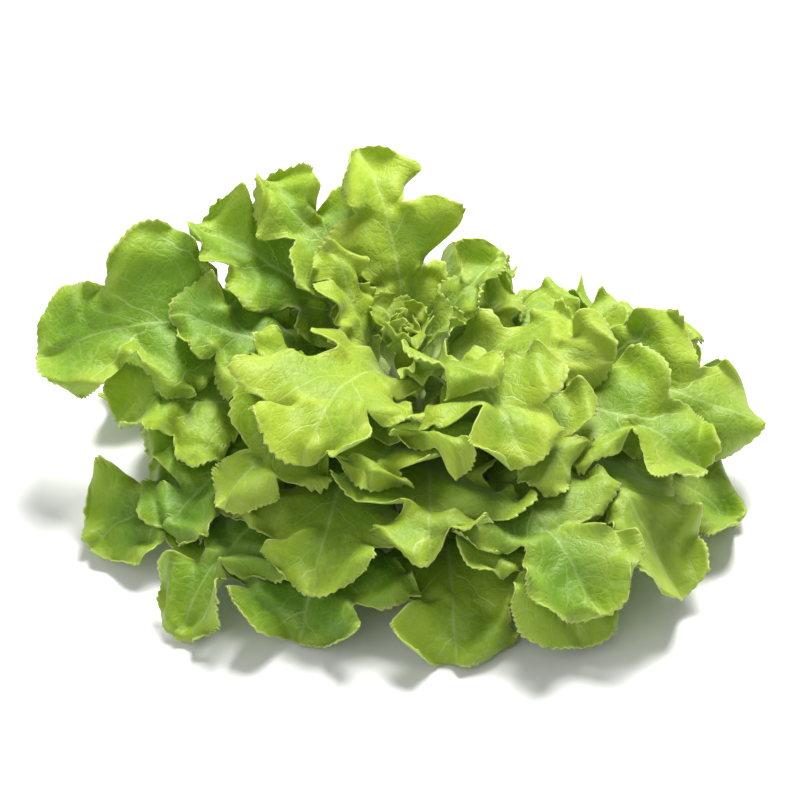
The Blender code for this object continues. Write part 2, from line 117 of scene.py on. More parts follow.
# Radius and height, in mm like all that follows, down the stem and down the heart's core.
STEM_PROFILE = [(0.0, 49.0), (5.5, 49.0), (8.5, 40.0), (12.0, 24.0), (14.5, 8.0), (13.5, 2.5), (12.0, 0.0)]
CORE_PROFILE = [(0.0, 60.0), (2.0, 58.5), (3.8, 55.5), (4.8, 52.0), (5.3, 49.3)]
STEM_RADIUS = max(radius for radius, height in STEM_PROFILE)

# The feet stand on the stem from the outermost leaf's height to the inmost's, a gap off it.
LOWEST_BASE = 4.5
HIGHEST_BASE = 30.0
TOPMOST_BASE = 47.0
GAP = 0.35
LEAF_COUNT = 42

# A leaf's outline and section. A pair goes from the outermost leaf to the inmost, and a
# place along the leaf is a share of its length.
HANDLE = 0.4
WRAP_END = 0.35
CUP_GROWS = (0.1, 0.6)
FLATTEST = 1e-5
PETIOLE_HALF_WIDTH = (6.5, 3.0)
PETIOLE_END = (0.16, 0.1)
BLADE_FULL = (0.58, 0.42)
SINUS_DEPTH = 0.58
SINUS_WIDTH = 0.042
SINUS_PLACES = (0.45, 0.73)
LOBE_ROUND = 0.36
LOBE_LEAN = 0.1
LOBE_SWEEP = 0.42
TIP_STARTS = 0.72
TIP_RADIUS = 0.72
TIP_BULGE = 0.18
TIP_NARROWS = 0.84
BLADE_THICK = 0.9
RIB_THICK = (1.4, 0.3)
RIB_THINS = 0.75
RIB_HALF_WIDTH = 5.0
WAVE_LENGTH = 40.0

# What differs from leaf to leaf by chance, as ranges: how far the lobes of one side sit
# ahead, how deep its sinuses are and how long its waves are.
SIDE_SHIFT = 0.045
SINUS_SHARE = (0.35, 1.05)
WAVE_SHARE = (0.85, 1.25)

# Curls, as shares of a leaf's ruffle: of each lobe's margin, of which every second lobe's
# goes the other way; of the tip, as a nod and as folds; and of the waves along the margin.
LOBE_CURL = (0.8, 2.3)
CURL_WAYS = (-1, 1, 1)
CURL_BACK = 0.8
TIP_NOD = (-1.6, 0.8)
TIP_FOLD = 1.0
TIP_FOLDS = 3.2
MARGIN_WAVE = 0.45

# Side veins leave the midrib at a slant, the first of them below the first lobe.
VEIN_SLANT = 1.1
FIRST_VEIN = 0.68

# The margin of the fine leaf: ragged by a share of the half width, and toothed, each tooth
# bitten more or less deep, from a share of the way out to the side and to the tip.
RAGGED, RAGGED_STEP, RAGGED_SEED = 0.07, 11.0, 900
TOOTH, TOOTH_DEPTH = 2.8, 0.85
TOOTH_SHIFT, TOOTH_PEAK, TIP_TOOTH_PEAK = 0.4, 0.4, 0.5
TEETH_START, TIP_TEETH_START = 0.86, 0.965
BITE_VARIES, BITE_STEP, BITE_SEED = 0.4, 5, 300

# The relief of the fine leaf: a short ruffle that dies away inwards from the margin, higher
# on the outermost leaf than on the inmost, bulges between side veins, and a crinkle.
RIM_WAVE, RIM_HEIGHT, RIM_DEPTH = 20.0, (4.4, 2.8), 9.0
RIM_SLANT, RIM_VARIES, RIM_DRIFT = 0.9, 0.7, 2.6
RIM_STEP, RIM_SEED = 13, 500
BULGE, BULGE_SHIFT = 1.1, 0.35
BULGE_FROM_MIDRIB, BULGE_FROM_MARGIN = 6, 5
CRINKLE, CRINKLE_STEP, CRINKLE_SEED = 0.4, 8.0, 700

# Tip (x, y, z), rise from the stem, droop at the tip, roll to the right, half width, how
# far the margins bend up, height of the ruffle, and the foot's turn round the stem.
Leaf = namedtuple("Leaf", "name tip rise droop roll width cup ruffle turn")
OUTER_LEAVES = [
    Leaf("outer_leaf_01", (18, -119, 2), 12, -40, 0, 38, 20, 5, 10),
    Leaf("outer_leaf_02", (38, 98, 5), 14, -30, 0, 36, 20, 5, -10),
    Leaf("outer_leaf_03", (-120, -54, 4), 14, -30, 10, 32, 10, 5, 10),
    Leaf("outer_leaf_04", (128, -41, 8), 14, -30, -10, 38, -20, 6, -10),
    Leaf("outer_leaf_05", (-42, -109, 2), 18, -50, 0, 40, 10, 5, 0),
    Leaf("outer_leaf_06", (-75, 92, 8), 16, -25, 0, 36, 20, 6, 0),
    Leaf("outer_leaf_07", (64, -112, 2), 18, -45, 0, 36, 20, 5, 10),
    Leaf("outer_leaf_08", (120, 32, 8), 16, -30, 0, 34, 10, 6, 0),
    Leaf("outer_leaf_09", (-120, 40, 10), 18, -25, 10, 34, 10, 6, 15),
    Leaf("outer_leaf_10", (-86, -102, 2), 22, -50, 0, 24, 0, 4, 0),
    Leaf("outer_leaf_11", (90, 72, 6), 18, -25, 0, 34, 10, 6, 0),
    Leaf("outer_leaf_12", (100, -88, 4), 20, -40, -5, 32, 15, 6, 30),
    Leaf("outer_leaf_13", (-18, 108, 12), 20, -20, 0, 36, 10, 6, 0),
]


def smoothstep(low, high, value):
    """0 up to low, 1 from high, and an even S between."""
    t = np.clip((value - low) / (high - low), 0.0, 1.0)
    return t * t * (3.0 - 2.0 * t)


def between(ends, share):
    """The value a share of the way from the first end to the second."""
    return ends[0] + (ends[1] - ends[0]) * share


def unit(vectors):
    """Each vector at length 1."""
    return vectors / np.linalg.norm(vectors, axis=-1, keepdims=True)


def heading(turn, rise):
    """The direction that points turn degrees round from +X and rise degrees up."""
    turn, rise = math.radians(turn), math.radians(rise)
    return np.array([math.cos(rise) * math.cos(turn), math.cos(rise) * math.sin(turn), math.sin(rise)])


def profile_radius(height):
    """The radius of the stem, or above it of the heart's core, at a height."""
    radii, heights = zip(*reversed(CORE_PROFILE + STEM_PROFILE[1:]))
    return np.interp(height, heights, radii, right=0.0)


def unevenness(seed, x, y):
    """Smooth noise from -1 to 1: random values on a unit lattice, joined by smoothsteps."""
    size = 61
    lattice = np.random.default_rng(seed).uniform(-1, 1, (size, size))
    i, j = np.floor(x).astype(int), np.floor(y).astype(int)
    s, t = smoothstep(0, 1, x - i), smoothstep(0, 1, y - j)
    i, j, right, up = i % size, j % size, (i + 1) % size, (j + 1) % size
    near = lattice[i, j] * (1 - s) + lattice[right, j] * s
    far = lattice[i, up] * (1 - s) + lattice[right, up] * s
    return near * (1 - t) + far * t


def teeth(place, peak):
    """A saw of one tooth per unit of place: it rises to 1 at the peak and falls to -1."""
    return 1 - 2 * np.abs(place % 1 - peak) / (1 - peak)


def of_side(pair, column):
    """A pair's first value on the left half of a leaf and its second on the right."""
    return np.where(column < 0, pair[0], pair[1])


class Midrib:
    """A cubic curve from the foot P0 to the tip P3, with P1 = P0 + h d along the rise and
    P2 = P3 - h d along the end's droop, h the handle's share of their distance d. It is read
    at even shares of its length and carried straight on past the tip. side points right
    along the leaf, face out of its upper side."""

    STEPS = 120
    BEYOND = 1.35

    def __init__(self, leaf, foot_radius, foot_height):
        tip = np.array(leaf.tip, float)
        self.foot_turn = math.degrees(math.atan2(tip[1], tip[0])) + leaf.turn
        inward = heading(self.foot_turn, 0)
        foot = inward * foot_radius
        foot[2] = foot_height
        outward = unit((tip - foot) * (1, 1, 0))
        droop = math.radians(leaf.droop)
        end = outward * math.cos(droop) + np.array([0, 0, math.sin(droop)])
        handle = HANDLE * np.linalg.norm(tip - foot)
        points = [foot, foot + handle * heading(self.foot_turn, leaf.rise), tip - handle * end, tip]
        t = np.linspace(0, 1, self.STEPS)[:, None]
        weights = [count * (1 - t) ** (3 - i) * t ** i for i, count in enumerate((1, 3, 3, 1))]
        curve = sum(weight * point for weight, point in zip(weights, points))
        run = np.concatenate([[0], np.cumsum(np.linalg.norm(np.diff(curve, axis=0), axis=1))])
        self.length = run[-1]
        shares = np.linspace(0, 1, self.STEPS)
        curve = np.stack([np.interp(shares, run / run[-1], curve[:, k]) for k in range(3)], axis=1)
        extra = np.linspace(1, self.BEYOND, self.STEPS // 3)[1:]
        beyond = curve[-1] + (extra[:, None] - 1) * self.length * end
        self.shares = np.concatenate([shares, extra])
        self.points = np.concatenate([curve, beyond])
        self.along = unit(np.gradient(self.points, axis=0))
        outwards = unit(inward + (outward - inward) * self.shares[:, None].clip(0, 1))
        side = np.cross(outwards, (0, 0, 1))
        side = unit(side - self.along * (side * self.along).sum(1, keepdims=True))
        face = np.cross(side, self.along)
        roll = np.radians(leaf.roll) * smoothstep(*CUP_GROWS, self.shares)[:, None]
        self.side = side * np.cos(roll) + face * np.sin(roll)
        self.face = face * np.cos(roll) - side * np.sin(roll)

    def at(self, share, what):
        """The midrib's point, or one of its directions, at each share of its length."""
        table = getattr(self, what)
        return np.stack([np.interp(share, self.shares, table[:, k]) for k in range(3)], axis=-1)


class Blade:
    """A leaf's outline and waves over rows along it and columns across it."""

    def __init__(self, leaf, rank, number, length):
        chance = np.random.default_rng(number)
        sinuses = len(SINUS_PLACES)
        self.leaf = leaf
        self.length = length
        self.number = number
        self.tooth, self.rim_wave, self.rim_height = TOOTH, RIM_WAVE, between(RIM_HEIGHT, rank)
        self.petiole = between(PETIOLE_HALF_WIDTH, rank)
        self.rib = between(RIB_THICK, rank)
        self.petiole_end = between(PETIOLE_END, rank)
        self.full = between(BLADE_FULL, rank)
        self.shift = chance.uniform(-SIDE_SHIFT, SIDE_SHIFT, 2)
        self.depth = chance.uniform(*SINUS_SHARE, (2, sinuses))
        self.phase = chance.uniform(0, 2 * math.pi, 3)
        self.wave = WAVE_LENGTH * chance.uniform(*WAVE_SHARE, 2)
        self.curl = chance.uniform(*LOBE_CURL, (2, sinuses + 1)) * chance.choice(CURL_WAYS, (2, 1))
        self.curl[:, 1::2] *= -CURL_BACK
        self.nod = chance.uniform(*TIP_NOD)

    def grow(self, row):
        """0 along the petiole, 1 where the blade is full."""
        return smoothstep(self.petiole_end, self.full, row)

    def half_width(self, row, column):
        """Petiole width grown to the full width, times an ellipse's quarter towards the tip,
        with each lobe's end rounded as a circle is and less a bell-shaped cut at each sinus."""
        full = self.leaf.width
        width = self.petiole + (full - self.petiole) * self.grow(row)
        width = width * np.sqrt(1 - TIP_NARROWS * (np.clip(row - self.full, 0, 1) / (1 - self.full)) ** 2)
        cut = 0
        for place, depths in zip(SINUS_PLACES, self.depth.T):
            cut = cut + of_side(depths, column) * np.exp(-(((row - place) / SINUS_WIDTH) ** 2))
        lobe, place = self.across_lobe(row)
        cap = LOBE_ROUND * (1 - np.sqrt(1 - place ** 2)) + LOBE_LEAN * np.sin(math.pi * place)
        at_tip = np.minimum(width, self.tip_width(row))
        width = np.where(lobe == len(SINUS_PLACES), at_tip, width * (1 - cap))
        return width * (1 - SINUS_DEPTH * cut)

    def across_lobe(self, row):
        """Which lobe a row crosses, and where: -1 at its lower sinus and 1 at its upper.

        The lowest lobe has its middle, 0, all the way down and the one at the tip all the way up.
        """
        last = len(SINUS_PLACES)
        count = (row - SINUS_PLACES[0]) / (SINUS_PLACES[1] - SINUS_PLACES[0]) + 1
        lobe = np.floor(count).clip(0, last).astype(int)
        place = (2 * (count - lobe) - 1).clip(-1, 1)
        place = np.where(lobe == 0, place.clip(0), place)
        return lobe, np.where(lobe == last, place.clip(None, 0), place)

    def tip_width(self, row):
        """Half the width of the round lobe at the tip, a circle that the swept rows meet."""
        tip = smoothstep(TIP_STARTS, 1.0, row)
        radius = TIP_RADIUS * self.leaf.width
        above = (row - 1) * self.length + radius - TIP_BULGE * self.leaf.width * tip
        sweep = LOBE_SWEEP * (1 - tip)
        reach = radius ** 2 * (1 + sweep ** 2) - above ** 2
        return (np.sqrt(reach.clip(0)) - above * sweep) / (1 + sweep ** 2)

    def margin_noise(self, row, column):
        """How ragged the margin is and how deep its teeth, by noise along each side."""
        side = 3 + 2 * np.sign(column)
        ragged = unevenness(RAGGED_SEED + self.number, row * self.length / RAGGED_STEP, side)
        bite = unevenness(BITE_SEED + self.number, row * self.length / BITE_STEP, side)
        return ragged, 1 - BITE_VARIES + BITE_VARIES * bite

    def with_relief(self, lift, across, along, inset, veins, column, grow):
        """The lift with the fine leaf's own on it: a sine along the margin that fades as e to
        the minus inset, a squared sine between side veins, and noise."""
        near = np.exp(-inset / RIM_DEPTH) * grow
        short = 2 * math.pi * (along + RIM_SLANT * np.abs(across)) / self.rim_wave
        uneven = unevenness(RIM_SEED + self.number, along / RIM_STEP, across / RIM_STEP)
        high = self.rim_height * (1 + RIM_VARIES * uneven) * near
        lift = lift + high * np.sin(short + RIM_DRIFT * uneven + np.sign(column))
        bulge = BULGE * np.sin(math.pi * (veins + BULGE_SHIFT * (column > 0))) ** 2 * grow
        off_midrib = np.minimum(1, np.abs(across) / BULGE_FROM_MIDRIB)
        lift = lift + bulge * off_midrib * np.minimum(1, inset / BULGE_FROM_MARGIN)
        crinkle = unevenness(CRINKLE_SEED + self.number, along / CRINKLE_STEP, across / CRINKLE_STEP)
        return lift + CRINKLE * grow * crinkle

    def surface(self, midrib, row, column, fine=False):
        """Arcs across the midrib, their margins swept towards the tip and raised in waves that
        grow as the 1.5th power towards the edge. fine adds the margin's teeth and the relief.
        It gives the points and, in mm, how far across and along the leaf each lies, its
        distance in from the margin, and its place counted in side veins."""
        leaf, length = self.leaf, self.length
        grow = self.grow(row)
        tip = smoothstep(TIP_STARTS, 1.0, row)
        half = self.half_width(row, column)
        if fine:
            ragged, bite = self.margin_noise(row, column)
            depth = TOOTH_DEPTH * bite
            saw = teeth(row * length / self.tooth + TOOTH_SHIFT * ragged, TOOTH_PEAK)
            rim = smoothstep(TEETH_START, 1.0, np.abs(column))
            half = half * (1 + RAGGED * ragged * grow) + depth * saw * rim * grow
        across = column * half
        place = row + of_side(self.shift, column) * np.abs(column) * np.sin(math.pi * row.clip(0, 1))
        forward = LOBE_SWEEP * np.abs(across) * grow * (1 - tip)
        forward = forward - column ** 2 * TIP_BULGE * leaf.width * tip
        if fine:
            saw = teeth(across / self.tooth + TOOTH_SHIFT * ragged, TIP_TOOTH_PEAK)
            forward = forward + depth * saw * smoothstep(TIP_TEETH_START, 1.0, row)
        share = place + forward / length
        bend = (1 - smoothstep(0, WRAP_END, row)) / STEM_RADIUS
        bend = bend + smoothstep(*CUP_GROWS, row) * math.radians(leaf.cup) / leaf.width
        bend = np.where(np.abs(bend) < FLATTEST, FLATTEST, bend)
        sideways = np.sin(bend * across) / bend
        lift = (1 - np.cos(bend * across)) / bend
        turn = 2 * math.pi * place * length / of_side(self.wave, column)
        edge = leaf.ruffle * np.abs(column) ** 1.5 * grow
        lobe, place = self.across_lobe(row)
        curl = np.where(column < 0, self.curl[0][lobe], self.curl[1][lobe])
        lift = lift + edge * curl * (1 - place ** 4)
        lift = lift + MARGIN_WAVE * edge * np.sin(turn + of_side(self.phase[:2], column))
        fold = TIP_FOLD * np.sin(TIP_FOLDS * column + self.phase[2])
        lift = lift + leaf.ruffle * tip * (fold + self.nod * tip)
        along = share * length
        inset = np.minimum((1 - np.abs(column)) * half, (1 - row) * length)
        first = (SINUS_PLACES[0] + SINUS_PLACES[1]) / 2 * length - FIRST_VEIN * leaf.width
        between_veins = (SINUS_PLACES[1] - SINUS_PLACES[0]) * length
        veins = (along - VEIN_SLANT * np.abs(across) - first) / between_veins
        if fine:
            lift = self.with_relief(lift, across, along, inset, veins, column, grow)
        side, face = midrib.at(share, "side"), midrib.at(share, "face")
        points = midrib.at(share, "points") + side * sideways[..., None] + face * lift[..., None]
        return points, across, along, inset, veins

    def thickness(self, row, column):
        """Blade thickness, and a bell-shaped rib along the middle that thins to the tip."""
        rib = self.rib * (1 - RIB_THINS * smoothstep(0.1, 0.9, row))
        across = column * self.half_width(row, column)
        return BLADE_THICK + rib * np.exp(-((across / RIB_HALF_WIDTH) ** 2))


# The solids' own grid of a leaf, in shares of its length and half width.
ROWS = np.array([0.0, 0.13, 0.26, 0.37, 0.45, 0.51, 0.59, 0.67, 0.73, 0.79, 0.86, 0.93, 1.0])
COLUMNS = np.array([-1.0, -0.72, -0.36, 0.0, 0.36, 0.72, 1.0])

# How closely solids lie on one another: the air between two of them and over the table, the
# patches in which the pile is kept, how far a patch counts sideways, and the leaf's swings.
CLEARANCE = 0.45
TABLE_CLEARANCE = 0.02
REACH_STEP = 1.0
REACH_CELLS = 240
TURN_CELLS = 360
SPREAD = 1.3
INMOST_CELL = 6
SAMPLES = 6
PASSES = 8
CLOSE_ENOUGH = 0.02
STEEPEST = 14


def triangles_of(rows, columns):
    """A grid's faces, two triangles to a cell, turned alternate ways."""
    j, i = np.meshgrid(np.arange(rows - 1), np.arange(columns - 1), indexing="ij")
    a = (j * columns + i).ravel()
    b, c, d = a + 1, a + columns, a + columns + 1
    odd = ((i + j) % 2 == 1).ravel()[:, None]
    first = np.where(odd, np.stack([a, b, d], 1), np.stack([a, b, c], 1))
    second = np.where(odd, np.stack([a, d, c], 1), np.stack([b, d, c], 1))
    return np.concatenate([first, second])


def seen(points):
    """Distance, angle from upright and turn of points, seen from the origin."""
    far = np.linalg.norm(points, axis=-1)
    lean = np.arccos(np.clip(points[..., 2] / far, -1, 1))
    return far, lean, np.arctan2(points[..., 1], points[..., 0])


def swing(points, lift):
    """Points swung up by a length, each about the origin and in its own upright plane."""
    far, lean, turn = seen(points)
    lean = np.maximum(lean - lift / far, np.minimum(lean, math.radians(STEEPEST)))
    flat = far * np.sin(lean)
    return np.stack([flat * np.cos(turn), flat * np.sin(turn), far * np.cos(lean)], axis=-1)


class Pile:
    """The upper side of the leaves laid so far: for each patch of distance and turn, seen
    from the origin, the least angle from upright. A new leaf swings up until it clears it."""

    def __init__(self):
        self.least = np.full((REACH_CELLS, TURN_CELLS), math.pi / 2)
        upto = range(SAMPLES + 1)
        shares = [(i, j, SAMPLES - i - j) for i in upto for j in upto if i + j <= SAMPLES]
        self.samples = np.array(shares) / SAMPLES

    def cells(self, far, turn):
        """The patch that each point lies in."""
        reach = np.clip((far / REACH_STEP).astype(int), 0, REACH_CELLS - 1)
        return reach, np.floor(np.degrees(turn)).astype(int) % TURN_CELLS

    def spread(self, points, thick, faces):
        """Points all over each triangle, with half the thickness at each."""
        corners = points.reshape(-1, 3)[faces]
        halves = thick.ravel()[faces] / 2
        return np.einsum("sc,fck->fsk", self.samples, corners), np.einsum("sc,fc->fs", self.samples, halves)

    def short(self, widened, points, half, clearance):
        """How far each point still has to swing up, in mm."""
        far, lean, turn = seen(points)
        least = widened[self.cells(far, turn)]
        room = half + np.where(least > math.pi / 2 - 1e-6, TABLE_CLEARANCE, clearance)
        return (far * (lean - least) + room).clip(0)

    def need(self, widened, points, thick, faces):
        """The most that any point of each corner's triangles has to swing up."""
        on, half = self.spread(points, thick, faces)
        short = self.short(widened, on, half, CLEARANCE).max(axis=1)
        found = np.zeros(thick.size)
        np.maximum.at(found, faces, short[:, None])
        return found.reshape(thick.shape)

    def widened(self, spread=SPREAD):
        """The pile grown sideways, so that leaves keep clear of steep places too."""
        wide = self.least.copy()
        for shift in (-1, 1):
            wide = np.minimum(wide, np.roll(self.least, shift, axis=0))
        grown = wide.copy()
        for reach in range(REACH_CELLS):
            patch = math.radians(360 / TURN_CELLS) * max(reach, INMOST_CELL) * REACH_STEP
            for shift in range(1, 1 + math.ceil(spread / patch)):
                around = np.minimum(np.roll(wide[reach], shift), np.roll(wide[reach], -shift))
                grown[reach] = np.minimum(grown[reach], around)
        return grown

    def lay(self, points, half):
        """Lays points of a leaf on the pile, with half its thickness at each."""
        far, lean, turn = seen(points)
        np.minimum.at(self.least, self.cells(far, turn), lean - half / far)


def smoothed(grid, times):
    """A grid of values, each replaced that many times by the mean of the nine round it."""
    rows, columns = grid.shape
    for _ in range(times):
        padded = np.pad(grid, 1, mode="edge")
        grid = sum(padded[j : j + rows, i : i + columns] for j in range(3) for i in range(3)) / 9
    return grid


def eased(target, times=3):
    """A smooth sheet over a grid of values, nowhere below them."""
    sheet = target
    for _ in range(times):
        sheet = np.maximum(target, smoothed(sheet, 1))
    return sheet


def foot_ring(foot_turn, height, across, thick, gap=GAP):
    """A leaf's first row, on the stem at a height and wrapped round it."""
    radius = profile_radius(height) + gap + thick / 2
    turn = math.radians(foot_turn) - across / radius
    return np.stack([radius * np.cos(turn), radius * np.sin(turn), np.full(len(turn), height)], axis=-1)


def clear_of_stem(points, thick):
    """Points pushed outwards where they would come too near the stem."""
    radius = np.hypot(points[..., 0], points[..., 1])
    least = profile_radius(points[..., 2]) + 2 * GAP + thick / 2
    out = np.maximum(radius, np.where(points[..., 2] < CORE_PROFILE[0][1], least, 0)) / radius
    return points * np.stack([out, out, np.ones_like(out)], axis=-1)


def settle(pile, foot_turn, height, across, points, thick, faces):
    """Swings a leaf up, smoothly, and its foot up the stem, until it clears the pile."""
    lift = np.zeros(thick.shape)
    widened = pile.widened()
    for _ in range(PASSES):
        now = clear_of_stem(swing(points, lift), thick)
        now[0] = foot_ring(foot_turn, height, across[0], thick[0])
        need = pile.need(widened, now, thick, faces)
        if need.max() < CLOSE_ENOUGH:
            break
        height = min(height + need[0].max(), TOPMOST_BASE)
        lift = eased(lift + need)
    return now, lift, height


class Wire:
    """One value in a material's nodes. Arithmetic on it adds Math nodes."""

    def __init__(self, tree, socket=None):
        self.tree, self.socket = tree, socket

    def node(self, kind, settings, values, out=0):
        """Adds a node: its settings are set first, then the values or links of its sockets."""
        node = self.tree.nodes.new("ShaderNode" + kind)
        for key, value in settings.items():
            setattr(node, key, value)
        for key, value in values.items():
            if isinstance(value, Wire):
                self.tree.links.new(value.socket, node.inputs[key])
            else:
                node.inputs[key].default_value = value
        return Wire(self.tree, node.outputs[out])

    def math(self, operation, *values):
        return self.node("Math", {"operation": operation}, dict(enumerate(values)))

    def __add__(self, other):
        return self.math("ADD", self, other)

    def __sub__(self, other):
        return self.math("SUBTRACT", self, other)

    def __rsub__(self, other):
        return self.math("SUBTRACT", other, self)

    def __mul__(self, other):
        return self.math("MULTIPLY", self, other)

    __radd__, __rmul__ = __add__, __mul__

    def __abs__(self):
        return self.math("ABSOLUTE", self)

    def larger(self, other):
        """The larger of two values."""
        return self.math("MAXIMUM", self, other)

    def ramp(self, low, high, start=0.0, end=1.0):
        """start up to low, end from high, and an even S between."""
        settings = {"interpolation_type": "SMOOTHSTEP"}
        values = {"Value": self, "From Min": low, "From Max": high, "To Min": start, "To Max": end}
        return self.node("MapRange", settings, values)

    def blend(self, share, first, second):
        """A share of the second colour in the first."""
        first, second = (c if isinstance(c, Wire) else (*c, 1) for c in (first, second))
        return self.node("Mix", {"data_type": "RGBA"}, {0: share, 6: first, 7: second}, out=2)

    def kept(self, name):
        """A value kept on the mesh's points."""
        return self.node("Attribute", {"attribute_name": name}, {}, out=2)

    def noise(self, place, scale, detail, out=0):
        """Noise of a scale in cells per metre, or per unit of the flat map."""
        return self.node("TexNoise", {}, {"Vector": place, "Scale": scale, "Detail": detail}, out)

    def cells(self, place, scale):
        """The distance to the nearest edge of a net of irregular cells."""
        return self.node("TexVoronoi", {"feature": "DISTANCE_TO_EDGE"}, {"Vector": place, "Scale": scale})

    def relief(self, height):
        """The normal over a height."""
        return self.node("Bump", {}, {"Strength": 0.5, "Distance": RELIEF, "Height": height})


# Tissue colours that all leaves share, and how far each of them, or a kind of vein, shows.
EDGE = (0.57, 0.65, 0.15)
BLOOM, BLOOM_SHOWS = (0.44, 0.52, 0.10), 0.3
UNDERSIDE, UNDERSIDE_SHOWS = (0.40, 0.52, 0.13), 0.55
VEIN, VEINS_SHOW = (0.58, 0.68, 0.30), 0.5
PETIOLE = (0.57, 0.70, 0.25)
MIDRIB_SHOWS, SIDE_VEINS_SHOW, SMALL_VEINS_SHOW = 0.7, 0.7, 0.35
NET_SHOWS, FINE_NET_SHOWS = 0.3, 0.12
EDGE_SHOWS, MARGIN_SHOWS, MIDRIB_PETIOLE = 0.7, 0.12, 0.2

# The veins' wander in mm, the cells of the two nets along one unit of the flat map, how far
# these are bent, and the map's unit in mm.
WANDER, COUNT_WANDER, RIGHT_AHEAD = 1.2, 0.35, 0.12
NET_CELLS, FINE_NET_CELLS, NET_BENDS = 17.0, 42.0, 0.05
MAP_UNIT = 100

# The tissue's satin and the height of its relief in metres, and the light that it lets through.
LEAF_ROUGHNESS, UNDERSIDE_ROUGHER = (0.46, 0.62), 0.1
RELIEF = 0.0006
SPECULAR, SHEEN, SHEEN_ROUGHNESS = 0.5, 0.2, 0.4
LIGHT_THROUGH, VEINS_HOLD_BACK = 0.3, 0.2


def vein_pattern(wire, flat, across, inset, veins, reach):
    """How strongly veins show: bands along the midrib, thinner towards the tip, and along the
    counted side veins, and the edges of two bent nets of cells. It gives the distance off
    the midrib, the midrib alone, all the veins, and the swelling of the cells between."""
    wobble = wire.noise(flat, 9.0, 2.0) - 0.5
    off_middle = abs(across + wobble * WANDER)
    midrib = (off_middle + reach * 1.1).ramp(0.3, 2.1, 1, 0) * MIDRIB_SHOWS
    right = wire.math("GREATER_THAN", across, 0.0)

    def lines(count, shift, thick):
        """1 along count lines for each side vein, a shift on from it."""
        phase = veins * count + right * (RIGHT_AHEAD * count) + wobble * (COUNT_WANDER * count) + shift
        near = abs(wire.math("FRACT", phase) - 0.5)
        return (0.5 - near).ramp(0.004, thick, 1, 0)

    fade = inset.ramp(1.0, 9.0)
    strong = lines(1, 0.0, 0.026) * fade * SIDE_VEINS_SHOW
    weak = lines(2, 0.5, 0.034) * fade * SMALL_VEINS_SHOW
    bends = wire.noise(flat, 24.0, 2.0, out=1)
    bent = wire.node("VectorMath", {"operation": "MULTIPLY_ADD"},
                     {0: bends, 1: (NET_BENDS, NET_BENDS, 0.0), 2: flat})
    net, fine_net = wire.cells(bent, NET_CELLS), wire.cells(bent, FINE_NET_CELLS)
    net_lines = net.ramp(0.004, 0.04, 1, 0) * NET_SHOWS
    fine_lines = fine_net.ramp(0.01, 0.1, 1, 0) * FINE_NET_SHOWS
    pattern = strong.larger(weak).larger(net_lines.larger(fine_lines)).larger(midrib)
    return off_middle, midrib, pattern, fine_net.ramp(0.0, 0.25) * 0.2 + net.ramp(0.0, 0.2) * 0.25


def leaf_finish(name, blade, light, glow):
    """Satin tissue: the blade's two greens by noise, each leaf's tone and the distance from
    the margin, then bloom, underside, margin, veins and petiole over them, and a share of
    light in the glow's colour let through, which the veins and the petiole hold back. The
    ends of a ramp on inset, along or off_middle are in mm."""
    material = bpy.data.materials.new(name)
    material.use_nodes = True
    tree = material.node_tree
    satin = tree.nodes["Principled BSDF"]
    wire = Wire(tree)
    place = wire.node("TexCoord", {}, {}, out=3)
    flat = wire.node("UVMap", {"uv_map": "flat"}, {})
    across, along = (wire.node("SeparateXYZ", {}, {0: flat}, out=axis) * MAP_UNIT for axis in (0, 1))
    inset, veins, reach = wire.kept("inset"), wire.kept("veins"), wire.kept("reach")
    tone, under = wire.kept("tone"), wire.kept("under")
    off_middle, midrib, pattern, swelling = vein_pattern(wire, flat, across, inset, veins, reach)
    rim = inset.ramp(0.2, 1.0, EDGE_SHOWS, 0) + inset.ramp(0.0, 6.0, MARGIN_SHOWS, 0)
    foot = along.ramp(12, 46, 1, 0) * off_middle.ramp(3.0, 13.0, 1, 0.35)
    foot = foot.larger(midrib * MIDRIB_PETIOLE)

    paler = wire.noise(place, 30.0, 4.0) * 0.8 + wire.noise(flat, 55.0, 5.0) * 0.4
    paler = paler + tone * 0.3 + inset.ramp(2.0, 18.0, 0.22, 0.0)
    green = wire.blend(paler.ramp(0.38, 0.98), blade, light)
    green = wire.blend(wire.noise(place, 14.0, 2.0).ramp(0.5, 0.72) * BLOOM_SHOWS, green, BLOOM)
    green = wire.blend(under * UNDERSIDE_SHOWS, green, UNDERSIDE)
    green = wire.blend(rim, green, EDGE)
    green = wire.blend(pattern * VEINS_SHOW, green, VEIN)
    green = wire.blend(foot, green, PETIOLE)
    tree.links.new(green.socket, satin.inputs["Base Color"])

    grain = wire.noise(flat, 120.0, 3.0)
    rough = grain.ramp(0.2, 0.8, *LEAF_ROUGHNESS) + under * UNDERSIDE_ROUGHER
    tree.links.new(rough.socket, satin.inputs["Roughness"])
    relief = wire.relief(swelling + grain * 0.1 - pattern * 0.6)
    tree.links.new(relief.socket, satin.inputs["Normal"])
    satin.inputs["Specular IOR Level"].default_value = SPECULAR
    satin.inputs["Sheen Weight"].default_value = SHEEN
    satin.inputs["Sheen Roughness"].default_value = SHEEN_ROUGHNESS
    through = wire.node("BsdfTranslucent", {}, {"Color": (*glow, 1), "Normal": relief})
    share = LIGHT_THROUGH - VEINS_HOLD_BACK * (pattern * 0.5).larger(foot)
    body = wire.node("MixShader", {}, {0: share, 1: Wire(tree, satin.outputs[0]), 2: through})
    tree.links.new(body.socket, tree.nodes["Material Output"].inputs["Surface"])
    return material


